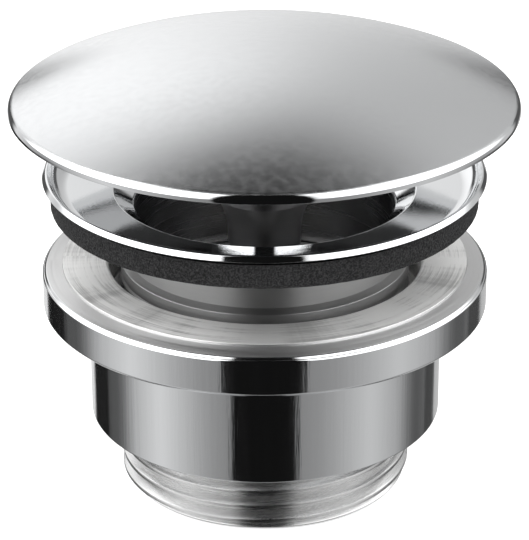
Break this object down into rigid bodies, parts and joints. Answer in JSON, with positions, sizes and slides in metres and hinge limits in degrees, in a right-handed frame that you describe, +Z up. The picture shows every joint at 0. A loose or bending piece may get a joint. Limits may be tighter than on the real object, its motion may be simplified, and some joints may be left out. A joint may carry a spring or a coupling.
{
  "type": "pop up basin waste",
  "caption": "Push-to-close basin waste with a domed mushroom cap, dished flange, foam seal and a clamping lower body with a threaded tail.",
  "frame": {"origin": "centre of the tail's lower end, on the surface that the waste stands on", "axes": "+Z up along the waste's axis towards the cap; X and Y are free, with the follower pins on X"},
  "size_m": [0.0714, 0.0714, 0.0654],
  "materials": {
    "chrome": "polished chrome plate on turned brass",
    "satin_chrome": "soft satin chrome plate",
    "satin_metal": "dull nickel plate",
    "brass": "turned",
    "steel": "stainless",
    "rubber": "matt",
    "foam": "fine open-cell foam",
    "polymer": "moulded acetal"
  },
  "bodies": {
    "lower_body": {"lower_body": "chrome"},
    "seal": {"foam_seal": "foam"},
    "flange": {"flange": "chrome", "bridge": "satin_metal", "cartridge_housing": "brass", "cartridge_washer": "rubber", "cartridge_nut": "brass", "cartridge_end_cap": "brass", "follower_pin_left": "steel", "follower_pin_right": "steel", "spindle_o_ring": "rubber", "spring": "steel"},
    "lift": {"thrust_washer": "steel"},
    "plug": {"spindle": "steel", "spindle_clip": "steel", "plug_stem": "chrome", "plug_seal": "rubber", "cap": "satin_chrome"},
    "sleeve": {"cam_sleeve": "polymer"}
  },
  "joints": [
    {"name": "clamp_slide", "type": "slide", "parent": "lower_body", "child": "seal", "axis": [0, 0, 1], "range_m": [-0.0066, 0.0042]},
    {"name": "flange_turn", "type": "hinge", "parent": "seal", "child": "flange", "pos_m": [0, 0, 0], "axis": [0, 0, 1], "range_deg": [-1020, 648]},
    {"name": "plug_slide", "type": "slide", "parent": "flange", "child": "lift", "axis": [0, 0, 1], "range_m": [-0.0085, 0], "stiffness_N_per_m": 250, "springref_m": 0.02, "deforming": ["spring"]},
    {"name": "plug_turn", "type": "hinge", "parent": "lift", "child": "plug", "pos_m": [0, 0, 0], "axis": [0, 0, 1], "continuous": true},
    {"name": "sleeve_turn", "type": "hinge", "parent": "lift", "child": "sleeve", "pos_m": [0, 0, 0], "axis": [0, 0, 1], "range_deg": [-80, 2]}
  ],
  "couplings": [
    {"joint": "clamp_slide", "follows": "flange_turn", "m_per_rad": 0.00036749},
    {"joint": "sleeve_turn", "follows": "plug_slide", "rad_per_m": 156.05}
  ]
}
